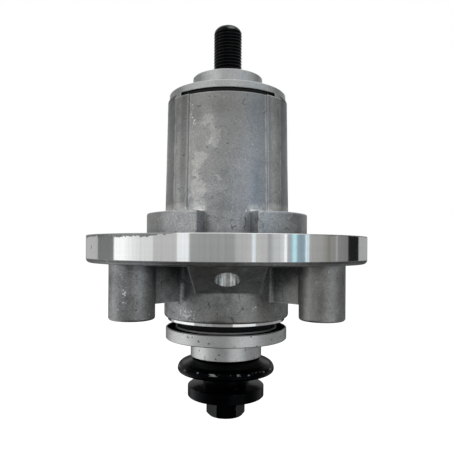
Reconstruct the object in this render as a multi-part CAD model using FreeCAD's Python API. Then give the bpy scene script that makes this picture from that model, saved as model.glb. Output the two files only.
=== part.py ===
import FreeCAD, Part
import math
import os

# Mower deck spindle. A cast housing bolts under the deck by its round flange, and a shaft
# on two sealed ball bearings carries the pulley above it and the blade below it.
# Millimetres. The origin is the centre of the flange's top face, +Z points to the pulley end,
# and the front is -Y. Lengths below the flange are given as positive depths.

# Deck flange
flange_radius = 77.3
flange_thickness = 14.35
rim_round = 2.2
rim_chamfer = 0.25

# Upper tube of the housing, with four low ribs on the diagonals
tube_top_radius = 33.65
tube_foot_radius = 35.0
rib_rise = 1.3
rib_width = 11.4
rib_edge_round = 0.55
seat_face_height = 72.75
lip_height = 2.45
lip_edge = 0.15
lip_bevel_slope = 1.8
window_half_width = 24.5

# Collar blocks on the flange, parted by four slots over the gusset holes
collar_radius = 45.95
collar_height = 12.25
collar_edge_round = 1.4
collar_foot_round = 2.0
collar_foot_sink = 0.25
collar_corner_round = 0.8
slot_half_angle = 19.0

# Lower hub with its machined nose
hub_radius = 35.1
hub_depth = 46.5
nose_radius = 33.0
nose_height = 1.6
nose_chamfer = 0.3

# Bolt bosses and the webs that tie them to the hub
arms = 4
boss_circle_radius = 64.3
boss_radius = 11.05
boss_depth = 40.6
boss_edge_round = 1.3
boss_hole_radius = 4.25
boss_hole_chamfer = 0.8
web_thickness = 5.4
web_depth = 34.0
web_fillet = 2.4

# Sloping gussets between the bosses, each with an upright hole
gusset_reach = 60.6
gusset_outer_half_width = 18.6
gusset_inner_half_width = 16.3
gusset_foot_radius = 35.6
gusset_depth = 29.05
gusset_edge_round = 0.9
gusset_hole_circle_radius = 48.7
gusset_hole_radius = 6.2

# Sealed deep groove ball bearings
bearing_bore_radius = 12.5
bearing_outer_radius = 26.0
bearing_width = 15.0
ring_wall_share = 0.348
ball_share = 0.274
cage_share = 0.1
cage_edge = 1.1
balls = 9
race_clearance = 0.28
pocket_clearance = 0.12
ring_chamfer = 0.8
shield_thickness = 1.2
shield_setback = 0.5
shield_groove = 0.6
shield_lip_gap = 0.3
seat_shoulder = 2.6
seat_chamfer = 0.6
upper_recess = 2.0
lower_recess = 2.5

# Shaft
shaft_shoulder_setback = 1.6
shaft_end_setback = 1.5
shaft_chamfer = 1.0
stud_radius = 7.9
stud_length = 29.9
stud_end_height = 4.4
stud_end_flat_radius = 4.4
stud_relief_radius = 6.9
stud_relief_length = 2.0
slip_clearance = 0.02

# Distance sleeve between the inner rings
sleeve_outer_radius = 15.4

# Top spacer: the disc that covers the housing's mouth, and the boss under the pulley
spigot_radius = 15.4
disc_radius = 32.8
disc_thickness = 3.85
disc_rise = 2.35
disc_lip_clearance = 0.4
top_boss_radius = 19.7
top_boss_height = 10.35
turned_chamfer = 0.4

# Bottom spacer: a dust cup with an outer wall and a thin inner one
dust_cup_radius = 34.2
dust_cup_gap = 3.95
dust_cup_height = 6.4
dust_cup_wall = 1.1
dust_cup_floor = 2.4
inner_land_rise = 0.45
inner_wall = 0.8
seal_seat_drop = 1.1
bottom_boss_radius = 20.1
bottom_boss_height = 10.3

# Rubber dust seals
seal_clearance = 0.1
seal_bore_gap = 0.5
seal_foot = 2.3
seal_foot_height = 1.2
upper_seal_radius = 31.8
upper_seal_thickness = 1.5
lower_seal_entry = 0.6

# Cup washer, pressed from thick plate
cup_flat_radius = 17.6
cup_slope_radius = 24.7
cup_slope_fall = 2.95
cup_round = 4.3
cup_thickness = 3.9

# Blade washer with its locating boss
washer_radius = 21.6
washer_thickness = 6.1
washer_boss_radius = 13.0
washer_boss_height = 12.55
washer_hole_clearance = 0.3

# Blade bolt
bolt_radius = 6.0
bolt_length = 45.0
bolt_across_flats = 19.0
bolt_head_height = 11.1
bolt_head_bevel = 1.6
bolt_bevel_slope = 0.7
bolt_turn = 2.0
bolt_thread_clearance = 0.03
bolt_hole_spare = 5.0
drill_point_height = 3.4

UP = FreeCAD.Vector(0, 0, 1)
ORIGIN = FreeCAD.Vector(0, 0, 0)
FULL_TURN = 360.0
QUARTER_TURN = 90.0
SIDES_OF_HEX = 6
# How far one shape runs into the next where they are joined or cut
OVERLAP = 1.0

# The bearing's section, shared out between its rings, balls and cage
bearing_section = bearing_outer_radius - bearing_bore_radius
inner_land_radius = bearing_bore_radius + bearing_section * ring_wall_share
outer_land_radius = bearing_outer_radius - bearing_section * ring_wall_share
ball_circle_radius = (bearing_bore_radius + bearing_outer_radius) / 2
ball_radius = bearing_section * ball_share
cage_inner_radius = ball_circle_radius - bearing_section * cage_share
cage_outer_radius = ball_circle_radius + bearing_section * cage_share
cage_half_width = ball_radius + cage_edge

# Heights and radii that several pieces share
dust_cup_rim_depth = hub_depth + dust_cup_gap
dust_cup_bottom_depth = dust_cup_rim_depth + dust_cup_height
inner_land_depth = dust_cup_rim_depth - inner_land_rise
seal_seat_depth = dust_cup_rim_depth + seal_seat_drop
seal_neck_radius = bearing_outer_radius - seal_bore_gap
seal_seat_radius = seal_neck_radius + seal_foot
inner_wall_radius = seal_seat_radius + inner_wall
lower_seal_top = lower_seal_entry - hub_depth
upper_bearing_top = seat_face_height - upper_recess
upper_bearing_bottom = upper_bearing_top - bearing_width
lower_bearing_bottom = lower_recess - hub_depth
lower_bearing_top = lower_bearing_bottom + bearing_width
lip_top = seat_face_height + lip_height
mouth_radius = disc_radius + disc_lip_clearance
disc_bottom = seat_face_height + disc_rise
disc_top = disc_bottom + disc_thickness
top_boss_top = disc_top + top_boss_height
stack_bottom = -dust_cup_bottom_depth - bottom_boss_height
shaft_top = top_boss_top - shaft_shoulder_setback
shaft_bottom = stack_bottom + shaft_end_setback
spacer_bore_radius = bearing_bore_radius + slip_clearance
cup_inside = stack_bottom - cup_thickness
washer_top = cup_inside - washer_boss_height
washer_bottom = washer_top - washer_thickness
washer_hole_radius = bolt_radius + washer_hole_clearance
bolt_tip = washer_bottom + bolt_length


def at(radius, height):
    return FreeCAD.Vector(radius, 0, height)


def on_circle(radius, degrees, height=0.0):
    turn = math.radians(degrees)
    return FreeCAD.Vector(radius * math.cos(turn), radius * math.sin(turn), height)


def bend(centre, radius, start, end):
    """An arc step of a profile in the XZ plane: its middle and its end, by angle from +X."""
    points = []
    for degrees in ((start + end) / 2, end):
        turn = math.radians(degrees)
        points.append(centre + FreeCAD.Vector(radius * math.cos(turn), 0, radius * math.sin(turn)))
    return tuple(points)


def outline(start, steps):
    """A closed wire. A step is a point for a straight edge, or (middle, end) for an arc."""
    edges = []
    here = start
    for step in steps + [start]:
        if isinstance(step, tuple):
            edges.append(Part.Arc(here, step[0], step[1]).toShape())
            here = step[1]
        else:
            edges.append(Part.LineSegment(here, step).toShape())
            here = step
    return Part.Wire(edges)


def turned(start, steps, degrees=FULL_TURN):
    return Part.Face(outline(start, steps)).revolve(ORIGIN, UP, degrees)


def ring(inner, outer, low, high):
    return turned(at(inner, low), [at(outer, low), at(outer, high), at(inner, high)])


def moved(solid, x=0.0, height=0.0):
    copy = solid.copy()
    copy.translate(FreeCAD.Vector(x, 0, height))
    return copy


def spun(solid, degrees):
    copy = solid.copy()
    copy.rotate(ORIGIN, UP, degrees)
    return copy


def around(solid, count, first=0.0):
    """Copies of a solid spread evenly about the axis."""
    return [spun(solid, first + index * FULL_TURN / count) for index in range(count)]


def upright_edges(solid, least_height, least_radius):
    found = []
    for edge in solid.Edges:
        centre = edge.CenterOfMass
        if edge.BoundBox.ZLength > least_height and math.hypot(centre.x, centre.y) > least_radius:
            found.append(edge)
    return found


def tube_radius(height):
    """The tube's outside narrows from the flange to the lip, as a casting does."""
    return tube_foot_radius + (tube_top_radius - tube_foot_radius) * height / lip_top


def ribbed_outline(height):
    """The tube's outline at one height, with a low rib on each diagonal."""
    radius = tube_radius(height)
    rib_radius = radius + rib_rise
    half = rib_width / 2
    tube_angle = math.degrees(math.asin(half / radius))
    rib_angle = math.degrees(math.asin(half / rib_radius))
    pitch = FULL_TURN / arms
    edges = []
    for arm in range(arms):
        middle = (arm + 1 / 2) * pitch
        rib_end = on_circle(rib_radius, middle + rib_angle, height)
        tube_start = on_circle(radius, middle + tube_angle, height)
        tube_end = on_circle(radius, middle + pitch - tube_angle, height)
        next_rib = on_circle(rib_radius, middle + pitch - rib_angle, height)
        rib_start = on_circle(rib_radius, middle - rib_angle, height)
        edges.append(Part.Arc(rib_start, on_circle(rib_radius, middle, height), rib_end).toShape())
        edges.append(Part.LineSegment(rib_end, tube_start).toShape())
        edges.append(Part.Arc(tube_start, on_circle(radius, middle + pitch / 2, height), tube_end).toShape())
        edges.append(Part.LineSegment(tube_end, next_rib).toShape())
    return Part.Wire(edges)


def tube():
    """The ribbed tube, its long edges rounded and its mouth bevelled."""
    body = Part.makeLoft([ribbed_outline(-OVERLAP), ribbed_outline(lip_top + OVERLAP)], True, True)
    body = body.makeFillet(rib_edge_round, upright_edges(body, lip_top, 0))
    edge_radius = mouth_radius + lip_edge
    outside = tube_foot_radius + rib_rise + OVERLAP
    fall = (outside - edge_radius) * lip_bevel_slope
    envelope = turned(
        at(0, -OVERLAP),
        [at(outside, -OVERLAP), at(outside, lip_top - fall), at(edge_radius, lip_top), at(0, lip_top)],
    )
    return body.common(envelope)


def flange_and_hub():
    """One turned body: the round flange, and the hub below it with its machined nose."""
    rim_centre = at(flange_radius - rim_round, rim_round - flange_thickness)
    hub_round = hub_radius - nose_radius
    round_centre = at(nose_radius, hub_round + nose_height - hub_depth)
    return turned(
        at(0, 0),
        [
            at(flange_radius - rim_chamfer, 0),
            at(flange_radius, -rim_chamfer),
            at(flange_radius, rim_centre.z),
            bend(rim_centre, rim_round, 0, -QUARTER_TURN),
            at(hub_radius, -flange_thickness),
            at(hub_radius, round_centre.z),
            bend(round_centre, hub_round, 0, -QUARTER_TURN),
            at(nose_radius, nose_chamfer - hub_depth),
            at(nose_radius - nose_chamfer, -hub_depth),
            at(0, -hub_depth),
        ],
    )


def collar_block():
    """One of the blocks round the tube's foot, between two slots."""
    inside = bearing_outer_radius + seat_shoulder
    foot_top = collar_height + collar_foot_round
    foot_centre = at(tube_radius(foot_top) + collar_foot_round - collar_foot_sink, foot_top)
    edge_centre = at(collar_radius - collar_edge_round, collar_height - collar_edge_round)
    block = turned(
        at(inside, -OVERLAP),
        [
            at(collar_radius, -OVERLAP),
            at(collar_radius, edge_centre.z),
            bend(edge_centre, collar_edge_round, 0, QUARTER_TURN),
            at(foot_centre.x, collar_height),
            bend(foot_centre, collar_foot_round, -QUARTER_TURN, -2 * QUARTER_TURN),
            at(inside, foot_top),
        ],
        FULL_TURN / arms - 2 * slot_half_angle,
    )
    corners = upright_edges(block, collar_height / 2, collar_radius - OVERLAP / 2)
    return spun(block.makeFillet(collar_corner_round, corners), slot_half_angle)


def web():
    """The plate between the hub and a boss, flared into both."""
    half = web_thickness / 2
    reach = half + web_fillet
    boss_centre = at(boss_circle_radius, 0)
    hub_span = hub_radius + web_fillet
    boss_span = boss_radius + web_fillet
    hub_flare = FreeCAD.Vector(math.sqrt(hub_span ** 2 - reach ** 2), reach, 0)
    boss_flare = FreeCAD.Vector(boss_circle_radius - math.sqrt(boss_span ** 2 - reach ** 2), reach, 0)
    on_hub = hub_flare * (hub_radius / hub_span)
    on_boss = boss_centre + (boss_flare - boss_centre) * (boss_radius / boss_span)
    hub_side = FreeCAD.Vector(hub_flare.x, half, 0)
    boss_side = FreeCAD.Vector(boss_flare.x, half, 0)

    def middle(flare, first, second):
        towards = (first - flare) + (second - flare)
        return flare + towards * (web_fillet / towards.Length)

    def mirrored(point):
        return FreeCAD.Vector(point.x, -point.y, 0)

    hub_middle = middle(hub_flare, on_hub, hub_side)
    boss_middle = middle(boss_flare, on_boss, boss_side)
    plan = outline(
        on_hub,
        [
            (hub_middle, hub_side),
            boss_side,
            (boss_middle, on_boss),
            mirrored(on_boss),
            (mirrored(boss_middle), mirrored(boss_side)),
            mirrored(hub_side),
            (mirrored(hub_middle), mirrored(on_hub)),
        ],
    )
    plate = Part.Face(plan).extrude(UP * (web_depth - flange_thickness + OVERLAP))
    return moved(plate, height=-web_depth)


def boss():
    """A bolt boss standing on its own axis, to be moved out to its circle."""
    round_centre = at(boss_radius - boss_edge_round, boss_edge_round - boss_depth)
    return turned(
        at(0, -boss_depth),
        [
            at(round_centre.x, -boss_depth),
            bend(round_centre, boss_edge_round, -QUARTER_TURN, 0),
            at(boss_radius, OVERLAP - flange_thickness),
            at(0, OVERLAP - flange_thickness),
        ],
    )


def boss_hole():
    """The tool for a boss's tapping hole, chamfered at its lower end."""
    wide = boss_hole_radius + boss_hole_chamfer + OVERLAP
    return turned(
        at(0, OVERLAP),
        [
            at(boss_hole_radius, OVERLAP),
            at(boss_hole_radius, boss_hole_chamfer - boss_depth),
            at(wide, -boss_depth - OVERLAP),
            at(0, -boss_depth - OVERLAP),
        ],
    )


def gusset():
    """A wedge under the flange, narrower towards the hub, with its sloping face rounded."""
    inner = hub_radius / 2
    slope = (gusset_depth - flange_thickness) / (gusset_reach - gusset_foot_radius)
    top = OVERLAP - flange_thickness
    outer = gusset_reach + OVERLAP / slope
    taper = (gusset_outer_half_width - gusset_inner_half_width) / (gusset_reach - gusset_foot_radius)
    inner_half = gusset_inner_half_width + (inner - gusset_foot_radius) * taper
    outer_half = gusset_outer_half_width + (outer - gusset_reach) * taper
    side = outline(
        at(inner, top),
        [at(outer, top), at(gusset_foot_radius, -gusset_depth), at(inner, -gusset_depth)],
    )
    wedge = Part.Face(side).extrude(FreeCAD.Vector(0, 2 * outer_half, 0))
    wedge.translate(FreeCAD.Vector(0, -outer_half, 0))
    plan = outline(
        FreeCAD.Vector(inner, -inner_half, -gusset_depth),
        [
            FreeCAD.Vector(outer, -outer_half, -gusset_depth),
            FreeCAD.Vector(outer, outer_half, -gusset_depth),
            FreeCAD.Vector(inner, inner_half, -gusset_depth),
        ],
    )
    wedge = wedge.common(Part.Face(plan).extrude(UP * (gusset_depth + top)))
    sloping = []
    for edge in wedge.Edges:
        ends = [vertex.Point for vertex in edge.Vertexes]
        off_slope = [abs(end.z + gusset_depth - (end.x - gusset_foot_radius) * slope) for end in ends]
        reaches_top = min(end.z for end in ends) > top - OVERLAP / 2
        if max(off_slope) < OVERLAP / 10 and not reaches_top:
            sloping.append(edge)
    return wedge.makeFillet(gusset_edge_round, sloping)


def bearing_bore():
    """The tool that opens the housing: the disc's counterbore, both seats and the space between."""
    waist = bearing_outer_radius - seat_shoulder
    return turned(
        at(0, lip_top + OVERLAP),
        [
            at(mouth_radius, lip_top + OVERLAP),
            at(mouth_radius, seat_face_height),
            at(bearing_outer_radius + seat_chamfer, seat_face_height),
            at(bearing_outer_radius, seat_face_height - seat_chamfer),
            at(bearing_outer_radius, upper_bearing_bottom),
            at(waist, upper_bearing_bottom),
            at(waist, lower_bearing_top),
            at(bearing_outer_radius, lower_bearing_top),
            at(bearing_outer_radius, seat_chamfer - hub_depth),
            at(bearing_outer_radius + seat_chamfer, -hub_depth),
            at(bearing_outer_radius + seat_chamfer, -hub_depth - OVERLAP),
            at(0, -hub_depth - OVERLAP),
        ],
    )


def mouth_window():
    """The tool that lowers the lip at the front and the back, where water drains out."""
    length = 2 * (tube_foot_radius + rib_rise + OVERLAP)
    corner = FreeCAD.Vector(-window_half_width, -length / 2, seat_face_height)
    return Part.makeBox(2 * window_half_width, length, lip_height + OVERLAP, corner)


def housing():
    """The casting, joined one kind of piece at a time, and then machined."""
    diagonal = FULL_TURN / arms / 2
    body = flange_and_hub().fuse(tube())
    body = body.fuse(around(collar_block(), arms))
    body = body.fuse(around(web(), arms, diagonal))
    body = body.fuse(around(moved(boss(), boss_circle_radius), arms, diagonal))
    body = body.fuse(around(gusset(), arms))
    depth = gusset_depth + OVERLAP
    hole = Part.makeCylinder(gusset_hole_radius, depth + OVERLAP, at(gusset_hole_circle_radius, -depth))
    holes = around(hole, arms) + around(moved(boss_hole(), boss_circle_radius), arms, diagonal)
    return body.cut(bearing_bore()).cut(mouth_window()).cut(holes).removeSplitter()


def race_arc():
    """The raceway's radius, and half its height where it meets the inner and outer lands."""
    race = ball_radius + race_clearance
    inner_half = math.sqrt(race ** 2 - (ball_circle_radius - inner_land_radius) ** 2)
    outer_half = math.sqrt(race ** 2 - (outer_land_radius - ball_circle_radius) ** 2)
    return race, inner_half, outer_half


def bearing_outer_ring():
    race, inner_half, outer_half = race_arc()
    half = bearing_width / 2
    ledge = half - shield_setback - shield_thickness
    recess = outer_land_radius + shield_groove
    return turned(
        at(bearing_outer_radius, ring_chamfer - half),
        [
            at(bearing_outer_radius, half - ring_chamfer),
            at(bearing_outer_radius - ring_chamfer, half),
            at(recess, half),
            at(recess, ledge),
            at(outer_land_radius, ledge),
            at(outer_land_radius, outer_half),
            (at(ball_circle_radius + race, 0), at(outer_land_radius, -outer_half)),
            at(outer_land_radius, -ledge),
            at(recess, -ledge),
            at(recess, -half),
            at(bearing_outer_radius - ring_chamfer, -half),
        ],
    )


def bearing_inner_ring():
    race, inner_half, outer_half = race_arc()
    half = bearing_width / 2
    return turned(
        at(bearing_bore_radius, ring_chamfer - half),
        [
            at(bearing_bore_radius + ring_chamfer, -half),
            at(inner_land_radius, -half),
            at(inner_land_radius, -inner_half),
            (at(ball_circle_radius - race, 0), at(inner_land_radius, inner_half)),
            at(inner_land_radius, half),
            at(bearing_bore_radius + ring_chamfer, half),
            at(bearing_bore_radius, half - ring_chamfer),
        ],
    )


def bearing_balls(radius):
    """Spheres on the ball circle, their poles turned outwards, clear of the cage's walls."""
    return around(Part.makeSphere(radius, at(ball_circle_radius, 0), at(1, 0)), balls)


def bearing_cage():
    body = ring(cage_inner_radius, cage_outer_radius, -cage_half_width, cage_half_width)
    return body.cut(bearing_balls(ball_radius + pocket_clearance))


def bearing_shield():
    """A shield pressed into the outer ring, standing on its ledge at the top side."""
    ledge = bearing_width / 2 - shield_setback - shield_thickness
    inner = inner_land_radius + shield_lip_gap
    return ring(inner, outer_land_radius + shield_groove, ledge, ledge + shield_thickness)


def write_bearing(name, bottom):
    middle = bottom + bearing_width / 2
    upper_shield = bearing_shield()
    lower_shield = moved(upper_shield, height=-upper_shield.BoundBox.ZMin - upper_shield.BoundBox.ZMax)
    write(name + "_outer_ring", moved(bearing_outer_ring(), height=middle))
    write(name + "_inner_ring", moved(bearing_inner_ring(), height=middle))
    write(name + "_balls", moved(Part.makeCompound(bearing_balls(ball_radius)), height=middle))
    write(name + "_cage", moved(bearing_cage(), height=middle))
    write(name + "_top_shield", moved(upper_shield, height=middle))
    write(name + "_bottom_shield", moved(lower_shield, height=middle))


def spindle_shaft():
    """The shaft: a plain journal, a threaded stud above it and a tapped hole in its lower end."""
    hole_radius = bolt_radius + bolt_thread_clearance
    hole_end = bolt_tip + bolt_hole_spare
    stud_top = top_boss_top + stud_length
    relief_top = shaft_top + stud_relief_length
    run = stud_radius - stud_end_flat_radius
    dome_radius = (run ** 2 + stud_end_height ** 2) / (2 * run)
    dome_centre = at(stud_radius - dome_radius, stud_top - stud_end_height)
    dome_angle = math.degrees(math.asin(stud_end_height / dome_radius))
    return turned(
        at(0, hole_end + drill_point_height),
        [
            at(hole_radius, hole_end),
            at(hole_radius, shaft_bottom),
            at(bearing_bore_radius - shaft_chamfer, shaft_bottom),
            at(bearing_bore_radius, shaft_bottom + shaft_chamfer),
            at(bearing_bore_radius, shaft_top - shaft_chamfer),
            at(bearing_bore_radius - shaft_chamfer, shaft_top),
            at(stud_relief_radius, shaft_top),
            at(stud_relief_radius, relief_top),
            at(stud_radius, relief_top + stud_radius - stud_relief_radius),
            at(stud_radius, dome_centre.z),
            bend(dome_centre, dome_radius, 0, dome_angle),
            at(0, stud_top),
        ],
    )


def distance_sleeve():
    return ring(spacer_bore_radius, sleeve_outer_radius, lower_bearing_top, upper_bearing_bottom)


def top_spacer():
    return turned(
        at(spacer_bore_radius, upper_bearing_top),
        [
            at(spigot_radius - turned_chamfer, upper_bearing_top),
            at(spigot_radius, upper_bearing_top + turned_chamfer),
            at(spigot_radius, disc_bottom),
            at(disc_radius - turned_chamfer, disc_bottom),
            at(disc_radius, disc_bottom + turned_chamfer),
            at(disc_radius, disc_top - turned_chamfer),
            at(disc_radius - turned_chamfer, disc_top),
            at(top_boss_radius, disc_top),
            at(top_boss_radius, top_boss_top - turned_chamfer),
            at(top_boss_radius - turned_chamfer, top_boss_top),
            at(spacer_bore_radius, top_boss_top),
        ],
    )


def bottom_spacer():
    """The lower spacer: a boss, and above it a dust cup with a groove round its inner wall."""
    cup_floor = dust_cup_floor - dust_cup_bottom_depth
    wall_inside = dust_cup_radius - dust_cup_wall
    return turned(
        at(spacer_bore_radius, stack_bottom),
        [
            at(bottom_boss_radius - turned_chamfer, stack_bottom),
            at(bottom_boss_radius, stack_bottom + turned_chamfer),
            at(bottom_boss_radius, -dust_cup_bottom_depth),
            at(dust_cup_radius - turned_chamfer, -dust_cup_bottom_depth),
            at(dust_cup_radius, turned_chamfer - dust_cup_bottom_depth),
            at(dust_cup_radius, -dust_cup_rim_depth - turned_chamfer),
            at(dust_cup_radius - turned_chamfer, -dust_cup_rim_depth),
            at(wall_inside, -dust_cup_rim_depth),
            at(wall_inside, cup_floor),
            at(inner_wall_radius, cup_floor),
            at(inner_wall_radius, -inner_land_depth),
            at(seal_seat_radius, -inner_land_depth),
            at(seal_seat_radius, -seal_seat_depth),
            at(spigot_radius, -seal_seat_depth),
            at(spigot_radius, lower_bearing_bottom - turned_chamfer),
            at(spigot_radius - turned_chamfer, lower_bearing_bottom),
            at(spacer_bore_radius, lower_bearing_bottom),
        ],
    )


def upper_dust_seal():
    inner = spigot_radius + seal_clearance
    return ring(inner, upper_seal_radius, disc_bottom - upper_seal_thickness, disc_bottom)


def lower_dust_seal():
    """A seal whose foot lies in the dust cup, and whose neck enters the housing's bore."""
    inner = spigot_radius + seal_clearance
    foot = seal_seat_radius - seal_clearance
    neck = seal_neck_radius - seal_clearance
    foot_top = seal_foot_height - seal_seat_depth
    return turned(
        at(inner, -seal_seat_depth),
        [
            at(foot, -seal_seat_depth),
            at(foot, foot_top),
            at(neck, foot_top),
            at(neck, lower_seal_top),
            at(inner, lower_seal_top),
        ],
    )


def cup_washer():
    """A pressed cup of even thickness: a flat crown, a slope and a rolled lip."""
    slope = math.atan2(cup_slope_fall, cup_slope_radius - cup_flat_radius)
    normal = at(math.sin(slope), math.cos(slope))
    bend_centre = at(cup_slope_radius, stack_bottom - cup_slope_fall) - normal * cup_round
    start_angle = math.degrees(math.atan2(normal.z, normal.x))
    inner_round = cup_round - cup_thickness
    lip_centre = bend_centre + at((cup_round + inner_round) / 2, 0)
    lip_radius = cup_thickness / 2
    return turned(
        at(washer_hole_radius, stack_bottom),
        [
            at(cup_flat_radius, stack_bottom),
            at(cup_slope_radius, stack_bottom - cup_slope_fall),
            bend(bend_centre, cup_round, start_angle, 0),
            bend(lip_centre, lip_radius, 0, -2 * QUARTER_TURN),
            bend(bend_centre, inner_round, 0, start_angle),
            at(cup_flat_radius - cup_thickness * math.tan(slope / 2), cup_inside),
            at(washer_hole_radius, cup_inside),
        ],
    )


def blade_washer():
    return turned(
        at(washer_hole_radius, washer_bottom),
        [
            at(washer_radius - turned_chamfer, washer_bottom),
            at(washer_radius, washer_bottom + turned_chamfer),
            at(washer_radius, washer_top - turned_chamfer),
            at(washer_radius - turned_chamfer, washer_top),
            at(washer_boss_radius, washer_top),
            at(washer_boss_radius, cup_inside - turned_chamfer),
            at(washer_boss_radius - turned_chamfer, cup_inside),
            at(washer_hole_radius, cup_inside),
        ],
    )


def blade_bolt():
    """A hexagon bolt screwed up into the shaft, its head below the blade washer."""
    corner = bolt_across_flats / 2 / math.cos(math.pi / SIDES_OF_HEX)
    bottom = washer_bottom - bolt_head_height
    turn = FULL_TURN / SIDES_OF_HEX
    corners = [on_circle(corner, index * turn + bolt_turn, bottom) for index in range(SIDES_OF_HEX)]
    head = Part.Face(outline(corners[0], corners[1:])).extrude(UP * bolt_head_height)
    envelope = turned(
        at(0, bottom),
        [
            at(corner - bolt_head_bevel, bottom),
            at(corner, bottom + bolt_head_bevel * bolt_bevel_slope),
            at(corner, washer_bottom),
            at(0, washer_bottom),
        ],
    )
    shank = turned(
        at(0, washer_bottom - OVERLAP),
        [
            at(bolt_radius, washer_bottom - OVERLAP),
            at(bolt_radius, bolt_tip - shaft_chamfer),
            at(bolt_radius - shaft_chamfer, bolt_tip),
            at(0, bolt_tip),
        ],
    )
    return head.common(envelope).fuse(shank).removeSplitter()


def write(name, shape):
    shape.exportStep(os.path.join("parts", name + ".step"))
    state = "valid" if shape.isValid() else "INVALID"
    print(name, len(shape.Solids), "solid(s)", round(shape.Volume), "mm3", state)


os.makedirs("parts", exist_ok=True)
write("housing", housing())
write("spindle_shaft", spindle_shaft())
write("distance_sleeve", distance_sleeve())
write_bearing("upper_bearing", upper_bearing_bottom)
write_bearing("lower_bearing", lower_bearing_bottom)
write("top_spacer", top_spacer())
write("upper_dust_seal", upper_dust_seal())
write("bottom_spacer", bottom_spacer())
write("lower_dust_seal", lower_dust_seal())
write("cup_washer", cup_washer())
write("blade_washer", blade_washer())
write("blade_bolt", blade_bolt())
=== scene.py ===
import math

import bmesh
import bpy
from mathutils import Matrix, Vector


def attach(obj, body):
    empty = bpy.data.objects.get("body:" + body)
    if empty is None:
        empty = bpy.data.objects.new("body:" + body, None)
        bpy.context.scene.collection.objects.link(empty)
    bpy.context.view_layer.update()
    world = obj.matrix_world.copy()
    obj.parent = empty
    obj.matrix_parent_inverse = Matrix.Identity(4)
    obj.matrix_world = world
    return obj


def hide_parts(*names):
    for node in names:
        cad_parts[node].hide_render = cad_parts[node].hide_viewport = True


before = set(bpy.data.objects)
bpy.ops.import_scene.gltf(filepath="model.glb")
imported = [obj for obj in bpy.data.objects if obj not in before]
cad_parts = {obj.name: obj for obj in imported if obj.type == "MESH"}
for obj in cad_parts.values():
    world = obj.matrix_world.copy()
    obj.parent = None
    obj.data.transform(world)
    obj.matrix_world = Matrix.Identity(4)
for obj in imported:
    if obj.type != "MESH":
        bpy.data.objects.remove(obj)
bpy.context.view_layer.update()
print("frame loaded:", len(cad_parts), "nodes")

mm = 0.001


def hexColour(text):
    # sRGB hex to the linear values that the shaders take
    values = [int(text[i:i + 2], 16) / 255 for i in (1, 3, 5)]
    linear = [v / 12.92 if v <= 0.04045 else ((v + 0.055) / 1.055) ** 2.4 for v in values]
    return (*linear, 1.0)


def addNode(tree, kind, settings=None, links=None):
    # Lower case names are the node's own settings, the rest are its sockets. What links
    # is a socket, or a node whose first output in use is meant
    node = tree.nodes.new("ShaderNode" + kind)
    for name, value in (settings or {}).items():
        if isinstance(name, str) and name[0].islower():
            setattr(node, name, value)
        else:
            node.inputs[name].default_value = value
    for name, source in (links or {}).items():
        if isinstance(source, bpy.types.Node):
            source = next(output for output in source.outputs if output.enabled)
        tree.links.new(source, node.inputs[name])
    return node


def startMaterial(name):
    material = bpy.data.materials.new(name)
    material.use_nodes = True
    material.node_tree.nodes.clear()
    return material, material.node_tree


def paint(nodeNames, material):
    for name in nodeNames:
        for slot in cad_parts[name].material_slots:
            slot.material = material


def patternScale(sizeMm):
    # A texture's scale, so that its features are about this many millimetres
    return 1000 / sizeMm


def span(start, end, low=0.0, high=1.0):
    # Takes what runs from start to end on to low to high, and no further
    return {"From Min": start, "From Max": end, "To Min": low, "To Max": high}


def surfacePlace(tree):
    # Where a point on the surface is, and how far from the axis, in metres
    place = addNode(tree, "TexCoord").outputs["Object"]
    across, deep, tall = addNode(tree, "SeparateXYZ", links={0: place}).outputs
    flat = addNode(tree, "VectorMath", {"operation": "MULTIPLY", 1: (1, 1, 0)}, {0: place})
    reach = addNode(tree, "VectorMath", {"operation": "LENGTH"}, {0: flat})
    return {"place": place, "across": across, "deep": deep, "tall": tall, "reach": reach}


def together(tree, *shares):
    # Masks that must all hold, or shades that lie over one another
    total = shares[0]
    for share in shares[1:]:
        total = addNode(tree, "Math", {"operation": "MULTIPLY"}, {0: total, 1: share})
    return total


def strongest(tree, *masks):
    # Where masks overlap, the strongest counts
    total = masks[0]
    for mask in masks[1:]:
        total = addNode(tree, "Math", {"operation": "MAXIMUM"}, {0: total, 1: mask})
    return total


def zone(tree, at, limits):
    # 1 where every limit holds. Each is a comparison, what it looks at, and its numbers
    masks = []
    for operation, value, *numbers in limits:
        settings = {"operation": operation, **dict(enumerate(numbers, 1))}
        masks.append(addNode(tree, "Math", settings, {0: at[value]}))
    return together(tree, *masks)


def coloured(tree, colour, *layers):
    # Colours laid one over the other, each where its mask says
    for mask, tone in layers:
        settings = {"data_type": "RGBA", 7: hexColour(tone)}
        colour = addNode(tree, "Mix", settings, {0: mask, 6: colour})
    return colour


def rubbedEdges(tree, spec):
    # Edges are rubbed where the rounded normal leaves the flat one
    rounded = addNode(tree, "Bevel", {"samples": 6, "Radius": spec["edgeMm"] * mm})
    flat = addNode(tree, "NewGeometry").outputs["Normal"]
    along = addNode(tree, "VectorMath", {"operation": "DOT_PRODUCT"}, {0: rounded, 1: flat})
    return addNode(tree, "MapRange", spec["edgeRub"], {"Value": along})


def spotCells(tree, place, cellMm, spot):
    # A round spot in each cell of a pattern, and the cell's own random colour
    cells = addNode(tree, "TexVoronoi", {"Scale": patternScale(cellMm)}, {"Vector": place})
    inside = addNode(tree, "MapRange", spot, {"Value": cells.outputs["Distance"]})
    return inside, addNode(tree, "SeparateColor", links={0: cells.outputs["Color"]})


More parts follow.
